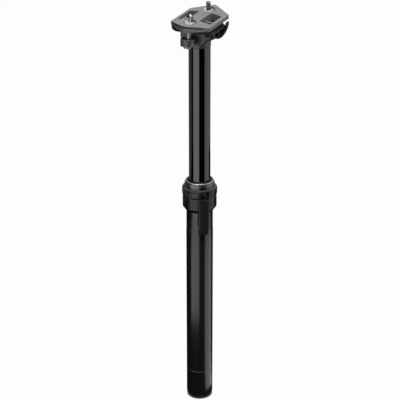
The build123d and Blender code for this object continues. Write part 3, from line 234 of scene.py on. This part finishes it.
# %% [markdown]
# ## Anodised black aluminium
# The stanchion, the tube, the collar and the head are all black aluminium, and only
# their surface differs: the stanchion is polished hard-anodised and reflects like
# lacquer, the tube is brushed satin, the head is bead-blasted. Each gets a very dark
# base, its own roughness with a little cloudiness, and a fine bump of the right scale.
# Where an edge is handled, the black wears to a slightly paler grey.

# %% The black finishes
EVEN = (1.0, 1.0, 1.0)
# Draws a pattern out sideways, into the fine rings that turning leaves.
ROUND_POST = (0.05, 0.05, 1.0)
BLACK_CLOUDS = 60.0
WEAR_BLOTCHES = 900.0
WORN_WIDTH = 0.0006
# The fine grain moves the roughness half as far as the clouds do.
GRAIN_SHARE = 0.5
# The black leans a little toward blue, and so does its wear.
BLACK_BLUE = 1.04
WORN_BLUE = 1.03


def black_aluminium(name, level, roughness, spread, specular, grain, grain_depth, stretch, wear):
    """A dark anodised finish; grain is its fineness in lines per metre."""
    finish = Finish(name, (level, level, level), roughness, specular=specular)
    clouds = finish.noise(BLACK_CLOUDS, detail=3.0)
    fine = finish.noise(grain, stretch=stretch)
    worn = finish.edges(WORN_WIDTH) * finish.noise(WEAR_BLOTCHES, detail=3.0)
    black = (level, level, level * BLACK_BLUE)
    pale = (level + wear, level + wear, level + wear * WORN_BLUE)
    finish.feed("Base Color", finish.tint(worn.clamped(), black, pale))
    finish.feed(
        "Roughness", (clouds - 0.5) * spread + roughness + (fine - 0.5) * spread * GRAIN_SHARE
    )
    finish.bump(fine, grain_depth)
    return finish.material


stanchion_gloss = black_aluminium(
    "stanchion_gloss", level=0.001, roughness=0.07, spread=0.02, specular=0.5,
    grain=900.0, grain_depth=0.000002, stretch=ROUND_POST, wear=0.02,
)
tube_satin = black_aluminium(
    "tube_satin", level=0.03, roughness=0.2, spread=0.04, specular=0.5,
    grain=2200.0, grain_depth=0.000004, stretch=ROUND_POST, wear=0.04,
)
collar_satin = black_aluminium(
    "collar_satin", level=0.006, roughness=0.3, spread=0.05, specular=0.28,
    grain=2600.0, grain_depth=0.000005, stretch=ROUND_POST, wear=0.08,
)
seal_nut_satin = black_aluminium(
    "seal_nut_satin", level=0.007, roughness=0.22, spread=0.05, specular=0.5,
    grain=2600.0, grain_depth=0.000005, stretch=ROUND_POST, wear=0.06,
)
cradle_dark = black_aluminium(
    "cradle_dark", level=0.008, roughness=0.42, spread=0.06, specular=0.2,
    grain=5200.0, grain_depth=0.00001, stretch=EVEN, wear=0.1,
)
head_matt = black_aluminium(
    "head_matt", level=0.02, roughness=0.46, spread=0.06, specular=0.5,
    grain=5200.0, grain_depth=0.00001, stretch=EVEN, wear=0.05,
)
lever_black = black_aluminium(
    "lever_black", level=0.006, roughness=0.3, spread=0.05, specular=0.3,
    grain=3000.0, grain_depth=0.000005, stretch=EVEN, wear=0.06,
)
print("black finishes:", stanchion_gloss.name, tube_satin.name, collar_satin.name, head_matt.name)

# %% [markdown]
# ## The clamp's grey, the bolts and the bright metal
# The upper clamp is blasted and tinted dark grey, so it reads a good deal lighter than
# the head. The bolts are dull grey steel. The barrel nuts and the rim ring are bare
# metal.

# %% Metal finishes
METAL_CLOUDS = 140.0
METAL_SHADE = 0.6
METAL_CONTRAST = 1.3
METAL_OFFSET = 0.15
CLAMP_GREY = (0.2, 0.2, 0.2)
CLAMP_DARK = (0.13, 0.13, 0.132)
CLAMP_PALE = (0.27, 0.27, 0.272)
CLAMP_WORN = (0.42, 0.42, 0.42, 1.0)
CLAMP_SPECKLES = 5600.0
CLAMP_CLOUDS = 90.0
CLAMP_WORN_WIDTH = 0.0007
CLAMP_WORN_SHARE = 0.7
CLAMP_ROUGHNESS = 0.5
CLAMP_SPECULAR = 0.4
CLAMP_SPREAD = 0.1
CLAMP_BUMP = 0.000012


def metal(name, color, roughness, spread, grain, grain_depth, stretch=EVEN):
    """Bare or thinly coated metal, with its turning marks or blasting as fine bump."""
    finish = Finish(name, color, roughness, metallic=1.0)
    fine = finish.noise(grain, stretch=stretch)
    clouds = finish.noise(METAL_CLOUDS, detail=3.0)
    deep = tuple(channel * METAL_SHADE for channel in color)
    share = (clouds * METAL_CONTRAST - METAL_OFFSET).clamped()
    finish.feed("Base Color", finish.tint(share, deep, color))
    finish.feed("Roughness", (fine - 0.5) * spread + roughness)
    finish.bump(fine, grain_depth)
    return finish.material


def clamp_finish():
    """Blasted grey anodising: a soft sheen, speckled, and paler along the edges."""
    finish = Finish("clamp_grey", CLAMP_GREY, CLAMP_ROUGHNESS, specular=CLAMP_SPECULAR)
    speckle = finish.noise(CLAMP_SPECKLES)
    clouds = finish.noise(CLAMP_CLOUDS, detail=3.0)
    worn = (finish.edges(CLAMP_WORN_WIDTH) * CLAMP_WORN_SHARE).clamped()
    base = finish.tint((speckle * 0.5 + clouds * 0.5).clamped(), CLAMP_DARK, CLAMP_PALE)
    mixed = finish.node(
        "ShaderNodeMix", {"data_type": "RGBA"}, {"Factor": worn, "A": base, "B": CLAMP_WORN}
    )
    finish.feed("Base Color", mixed["Result"])
    finish.feed("Roughness", (speckle - 0.5) * CLAMP_SPREAD + CLAMP_ROUGHNESS)
    finish.bump(speckle, CLAMP_BUMP)
    return finish.material


clamp_grey = clamp_finish()
bolt_grey = metal(
    "bolt_grey", (0.15, 0.15, 0.15), roughness=0.38, spread=0.12, grain=3000.0, grain_depth=0.000004
)
nut_bright = metal(
    "nut_bright", (0.62, 0.62, 0.61), roughness=0.25, spread=0.1, grain=2400.0,
    grain_depth=0.000004, stretch=(0.05, 1.0, 1.0),
)
ring_bright = metal(
    "ring_bright", (0.52, 0.52, 0.52), roughness=0.2, spread=0.06, grain=2000.0,
    grain_depth=0.000002, stretch=ROUND_POST,
)
rod_steel = metal(
    "rod_steel", (0.5, 0.5, 0.51), roughness=0.22, spread=0.08, grain=2600.0,
    grain_depth=0.000003, stretch=ROUND_POST,
)
inner_aluminium = metal(
    "inner_aluminium", (0.55, 0.55, 0.56), roughness=0.32, spread=0.1, grain=2400.0,
    grain_depth=0.000004, stretch=ROUND_POST,
)
key_brass = metal(
    "key_brass", (0.62, 0.43, 0.17), roughness=0.3, spread=0.1, grain=2400.0, grain_depth=0.000004
)
print("metals:", clamp_grey.name, bolt_grey.name, nut_bright.name, ring_bright.name)

# %% [markdown]
# ## Plastic, rubber and felt
# The cable guide is moulded nylon with a fine texture, the stop under it smoother and
# deeper black. The wiper is rubber, which is dark and soft in the light. The bushings
# and the felt ring are only seen by someone who takes the post apart.

# %% Plastic, rubber and felt
MOULDED_CLOUDS = 200.0
MOULDED_CLOUD_SHARE = 0.6
MOULDED_SPREAD = 0.2


def moulded(name, dark, light, roughness, grain, grain_depth, specular=0.5):
    """Plastic, rubber or felt: a cloudy colour over an even fine texture."""
    finish = Finish(name, light, roughness, specular=specular)
    fine = finish.noise(grain, detail=3.0)
    clouds = finish.noise(MOULDED_CLOUDS, detail=3.0)
    share = (clouds * MOULDED_CLOUD_SHARE + fine * (1.0 - MOULDED_CLOUD_SHARE)).clamped()
    finish.feed("Base Color", finish.tint(share, dark, light))
    finish.feed("Roughness", (fine - 0.5) * MOULDED_SPREAD + roughness)
    finish.bump(fine, grain_depth)
    return finish.material


guide_plastic = moulded(
    "guide_plastic", dark=(0.003, 0.003, 0.003), light=(0.007, 0.007, 0.0075),
    roughness=0.42, grain=4200.0, grain_depth=0.00004, specular=0.26,
)
stop_plastic = moulded(
    "stop_plastic", dark=(0.001, 0.001, 0.001), light=(0.003, 0.003, 0.003),
    roughness=0.5, grain=3000.0, grain_depth=0.00001, specular=0.12,
)
seal_rubber = moulded(
    "seal_rubber", dark=(0.001, 0.001, 0.001), light=(0.004, 0.004, 0.004),
    roughness=0.55, grain=2600.0, grain_depth=0.00001, specular=0.15,
)
bushing_plastic = moulded(
    "bushing_plastic", dark=(0.09, 0.08, 0.06), light=(0.17, 0.15, 0.11),
    roughness=0.5, grain=2400.0, grain_depth=0.00001,
)
felt = moulded(
    "felt", dark=(0.2, 0.18, 0.14), light=(0.36, 0.33, 0.27),
    roughness=0.9, grain=1400.0, grain_depth=0.0002, specular=0.1,
)
print("soft finishes:", guide_plastic.name, stop_plastic.name, seal_rubber.name)

# %% [markdown]
# ## Dressing the solids
# Every solid of the CAD model gets one of these finishes. Its shape is left as it is.

# %% Which solid wears what
FINISH_OF = {
    stanchion_gloss: ["stanchion"],
    tube_satin: ["outer_tube", "foot_cap"],
    collar_satin: ["collar"],
    seal_nut_satin: ["seal_nut"],
    head_matt: ["head"],
    lever_black: ["release_lever", "pivot_screw", "cable_barrel"],
    clamp_grey: ["upper_clamp"],
    cradle_dark: ["lower_cradle"],
    bolt_grey: ["front_bolt", "front_washer", "rear_bolt", "rear_washer", "barrel_screw"],
    nut_bright: ["front_nut", "rear_nut"],
    ring_bright: ["rim_ring"],
    rod_steel: [
        "rocker_pin", "piston_rod", "rod_nut", "lever_spindle", "release_strip", "foot_rocker",
        "valve_pin", "valve_spring",
    ],
    inner_aluminium: [
        "foot_plug", "main_piston", "stanchion_end_nut", "cartridge_tube", "rod_guide",
        "cartridge_plug", "floating_piston",
    ],
    key_brass: ["guide_keys", "filling_valve"],
    guide_plastic: ["cable_guide"],
    stop_plastic: ["housing_stop"],
    seal_rubber: ["wiper_seal", "piston_seal", "top_out_bumper", "rod_seal", "floating_seal"],
    bushing_plastic: ["upper_bushing", "lower_bushing"],
    felt: ["foam_ring"],
}
dressed = set()
for material, names in FINISH_OF.items():
    for name in names:
        mesh = nodes[name].data
        mesh.materials.clear()
        mesh.materials.append(material)
        dressed.add(name)
print("without a finish:", sorted(set(nodes) - dressed))

# %% [markdown]
# ## Screw threads
# The CAD bolts are plain rods. A helical ridge, three corners in section, is laid
# round each from below its nut to its tip, and it rides with the bolt. The bolt's line
# runs through two joints of the record: the bolt's swivel and the nut's turning. The
# ridge is low, because the nut's bore stands a little askew of it when the clamp tilts.

# %% Threads
THREAD_RADIUS = 0.00246
THREAD_RISE = 0.00008
THREAD_PITCH = 0.0008
# How far the ridge's foot reaches from its middle, as a share of the pitch.
THREAD_REACH = 0.42
THREAD_STEPS = 20
START_BELOW_NUT = 0.009
THREAD_END = {"front": 0.031, "rear": 0.0391}
joint_places = {joint["name"]: Vector(joint["pos_m"]) for joint in frame["joints"] if "pos_m" in joint}


def thread(name, foot, nut, start, end):
    """A ridge wound round the line from foot to nut, between two distances along it."""
    way = (nut - foot).normalized()
    across = Vector((1.0, 0.0, 0.0))
    beside = way.cross(across)
    turns = (end - start - THREAD_PITCH) / THREAD_PITCH
    points, faces = [], []
    for step in range(int(turns * THREAD_STEPS) + 1):
        turn = 2.0 * pi * step / THREAD_STEPS
        out = across * cos(turn) + beside * sin(turn)
        middle = foot + way * (start + THREAD_PITCH * (0.5 + step / THREAD_STEPS))
        points += [
            middle + out * THREAD_RADIUS - way * THREAD_PITCH * THREAD_REACH,
            middle + out * (THREAD_RADIUS + THREAD_RISE),
            middle + out * THREAD_RADIUS + way * THREAD_PITCH * THREAD_REACH,
        ]
        if step:
            low = 3 * step
            faces += [(low - 3, low, low + 1, low - 2), (low - 2, low + 1, low + 2, low - 1)]
    mesh = bpy.data.meshes.new(name)
    mesh.from_pydata([tuple(point) for point in points], [], faces)
    for face in mesh.polygons:
        face.use_smooth = True
    mesh.materials.append(bolt_grey)
    ridge = bpy.data.objects.new(name, mesh)
    bpy.context.collection.objects.link(ridge)
    return ridge


for side, end in THREAD_END.items():
    swivel = joint_places[f"{side}_bolt_swing"]
    nut_middle = joint_places[f"{side}_nut_turn"]
    start = (nut_middle - swivel).length - START_BELOW_NUT
    ridge = thread(f"{side}_thread", swivel, nut_middle, start, end)
    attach(ridge, f"{side}_bolt_set")
print("threads on", sorted(name for name in joint_places if name.endswith("bolt_swing")))

# %% [markdown]
# ## Floor and world
# The floor and the air are white to the camera and in reflections. What the air sheds
# on matt surfaces is dim, so that the lamps and cards decide the look. The floor keeps
# only a trace of shading, because the photograph's ground shows none.

# %% Floor, backdrop and world
FLOOR_HALF = 6.0
FLOOR_HEIGHT = -0.0006
FLOOR_LEVEL = 0.8
FLOOR_SHADE_SHARE = 0.02
WORLD_LIGHT = 0.14


def ray_seen(graph):
    """1 for camera, mirrored and transmitted rays, 0 for the light that falls on things."""
    rays = graph.node("ShaderNodeLightPath")
    return (rays["Is Camera Ray"] + rays["Is Glossy Ray"] + rays["Is Transmission Ray"]).clamped()


def bare_material(name):
    """A material with no nodes yet, and the graph to fill it with."""
    material = bpy.data.materials.new(name)
    material.use_nodes = True
    material.node_tree.nodes.clear()
    return material, Graph(material.node_tree)


def white_stage(name, level, shade_share):
    """A matt white that the camera sees as white, keeping a share of its shading."""
    material, graph = bare_material(name)
    matt = graph.node("ShaderNodeBsdfDiffuse", None, {"Color": (level, level, level, 1.0)})["BSDF"]
    glow = graph.node("ShaderNodeEmission", None, {"Strength": 1.0})["Emission"]
    share = ray_seen(graph) * (1.0 - shade_share)
    blend = graph.node("ShaderNodeMixShader", None, {0: share, 1: matt, 2: glow})["Shader"]
    graph.node("ShaderNodeOutputMaterial", None, {"Surface": blend})
    return material


def card_paint(name, strength):
    """A card's paint: an even brightness, 0 for black."""
    material, graph = bare_material(name)
    glow = graph.node("ShaderNodeEmission", None, {"Strength": strength})["Emission"]
    graph.node("ShaderNodeOutputMaterial", None, {"Surface": glow})
    return material


def stage_piece(name, corners, material):
    """A flat stage piece with the given corners."""
    mesh = bpy.data.meshes.new(name)
    mesh.from_pydata([tuple(corner) for corner in corners], [], [tuple(range(len(corners)))])
    mesh.materials.append(material)
    piece = bpy.data.objects.new(name, mesh)
    bpy.context.collection.objects.link(piece)
    return piece


floor_corners = [
    Vector((x * FLOOR_HALF, y * FLOOR_HALF, FLOOR_HEIGHT)) for x, y in ((-1, -1), (1, -1), (1, 1), (-1, 1))
]
stage_piece("floor", floor_corners, white_stage("floor_white", FLOOR_LEVEL, FLOOR_SHADE_SHARE))
world = bpy.data.worlds.new("studio")
bpy.context.scene.world = world
world.use_nodes = True
air = world.node_tree.nodes["Background"]
air.inputs["Color"].default_value = (1.0, 1.0, 1.0, 1.0)
sky = Graph(world.node_tree)
sky.join(ray_seen(sky) * (1.0 - WORLD_LIGHT) + WORLD_LIGHT, air.inputs["Strength"])
print("floor and world are white")

# %% [markdown]
# ## Lamps and cards
# The camera looks down, so an upright tube mirrors what lies low round it. There a
# black sheet covers the floor, unseen by the camera, and it also keeps the floor's
# bounce off the clamp's sides. A lamp stands low on each side, with a pale card on the
# floor. Both lamps are seen by mirrored light only: the tubes show them as two long
# streaks, with a dark card in front that keeps the line between them dark. Of the
# lamps, only the one above lights the matt surfaces. Two cards stand behind, for the
# tubes' edges and the back. A real studio could not part light in this way, but it
# gives dark metal clean streaks from few pieces.

# %% Lamps and cards
ARC_STEPS = 12
SHEET_HEIGHT = 0.0002
CARD_HEIGHT = 0.0004
CARD_REACH = 0.9
QUARTER = 90.0


def around(turn, reach, height):
    """A point at an angle from the camera's own side, positive to its right."""
    return toward(VIEW_AZIMUTH + radians(turn), 0.0) * reach + Vector((0, 0, height))


def lamp(name, place, aim_height, width, height, watts, lights_matt=True):
    """A soft lamp the camera doesn't see; it may be left to mirrored light alone."""
    data = bpy.data.lights.new(name, "AREA")
    data.shape = "RECTANGLE"
    data.size, data.size_y = width, height
    data.energy = watts
    light = bpy.data.objects.new(name, data)
    light.location = place
    light.rotation_euler = (Vector((0, 0, aim_height)) - place).to_track_quat("-Z", "Y").to_euler()
    light.visible_camera = False
    light.visible_diffuse = lights_matt
    bpy.context.collection.objects.link(light)


def mirrored_only(card, catches_bounce=False):
    """Only reflections see this card; it may also catch what the floor would throw up."""
    card.visible_camera = False
    card.visible_diffuse = catches_bounce
    card.visible_shadow = False


def floor_card(name, first, last, near, far, strength, height=CARD_HEIGHT, catches_bounce=False):
    """A card on the floor, between two angles and two distances from the post."""
    turns = [first + (last - first) * step / ARC_STEPS for step in range(ARC_STEPS + 1)]
    outer = [around(turn, far, height) for turn in turns]
    inner = [around(turn, near, height) for turn in reversed(turns)]
    mirrored_only(stage_piece(name, outer + inner, card_paint(name, strength)), catches_bounce)


def upright_card(name, first, last, high, strength):
    """A card that stands on the floor, facing the post."""
    corners = [
        around(first, CARD_REACH, 0.0), around(last, CARD_REACH, 0.0),
        around(last, CARD_REACH, high), around(first, CARD_REACH, high),
    ]
    mirrored_only(stage_piece(name, corners, card_paint(name, strength)))


lamp(
    "left_lamp", around(turn=-37.0, reach=0.5, height=0.36), aim_height=0.36,
    width=0.6, height=0.68, watts=3.4, lights_matt=False,
)
lamp(
    "right_lamp", around(turn=82.0, reach=0.5, height=0.3), aim_height=0.3,
    width=0.56, height=0.56, watts=1.3, lights_matt=False,
)
lamp(
    "top_lamp", around(turn=20.0, reach=0.25, height=1.25), aim_height=0.48,
    width=0.7, height=0.7, watts=8.0,
)
for quarter in range(4):
    first = QUARTER * (quarter - 2)
    floor_card(
        f"black_sheet_{quarter + 1}", first, first + QUARTER, near=0.02, far=3.0, strength=0.0,
        height=SHEET_HEIGHT, catches_bounce=True,
    )
floor_card("left_card", -76.0, -4.0, near=0.22, far=0.5, strength=1.8)
floor_card("right_card", 46.0, 116.0, near=0.035, far=0.5, strength=1.5)
upright_card("back_left_card", -175.0, -84.0, high=0.7, strength=0.3)
upright_card("back_right_card", 126.0, 175.0, high=0.7, strength=0.7)
upright_card("middle_card", 4.0, 44.0, high=0.5, strength=0.01)
print("lamps and cards stand")

# %% [markdown]
# ## The end
# The plain view transform keeps the greys as the materials state them.

# %% The view transform
bpy.context.scene.view_settings.view_transform = "Standard"
